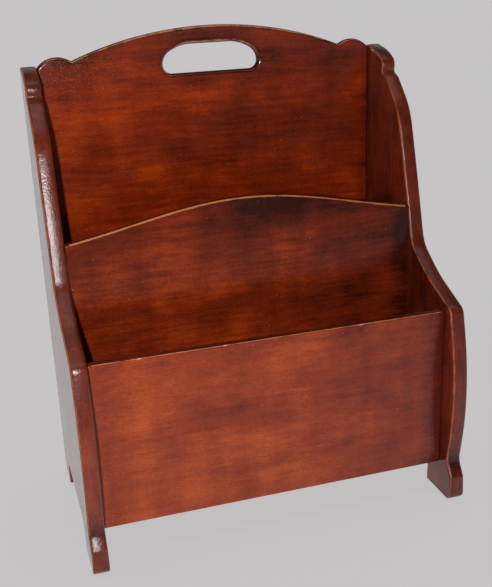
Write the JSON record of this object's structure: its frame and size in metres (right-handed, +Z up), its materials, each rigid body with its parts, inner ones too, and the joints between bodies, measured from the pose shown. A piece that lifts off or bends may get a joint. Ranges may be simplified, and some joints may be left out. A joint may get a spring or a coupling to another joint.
{
  "type": "magazine rack",
  "caption": "Free-standing wooden magazine rack with scrolled sides, an arched back with a hand slot, an arched divider and a straight front forming two upright pockets.",
  "frame": {"origin": "centre of the footprint, on the floor", "axes": "+X to the right as seen from the front, -Y towards the front, +Z up"},
  "size_m": [0.392, 0.2221, 0.4855],
  "materials": {
    "side_wood": "glossy reddish-brown mahogany stain and varnish, grain upright",
    "panel_wood": "glossy reddish-brown mahogany stain and varnish, grain across",
    "front_wood": "glossy red mahogany stain and varnish, grain across, worn at the edges",
    "nail_steel": "plain bright wire",
    "filler": "stained wood filler under varnish"
  },
  "bodies": {
    "root": {"side_left": "side_wood", "side_right": "side_wood", "back_panel": "panel_wood", "divider_panel": "panel_wood", "front_panel": "front_wood", "bottom_board": "panel_wood", "back_nails": "nail_steel", "divider_nails": "nail_steel", "front_nails": "nail_steel", "bottom_nails": "nail_steel", "nail_hole_filler": "filler"}
  },
  "joints": []
}
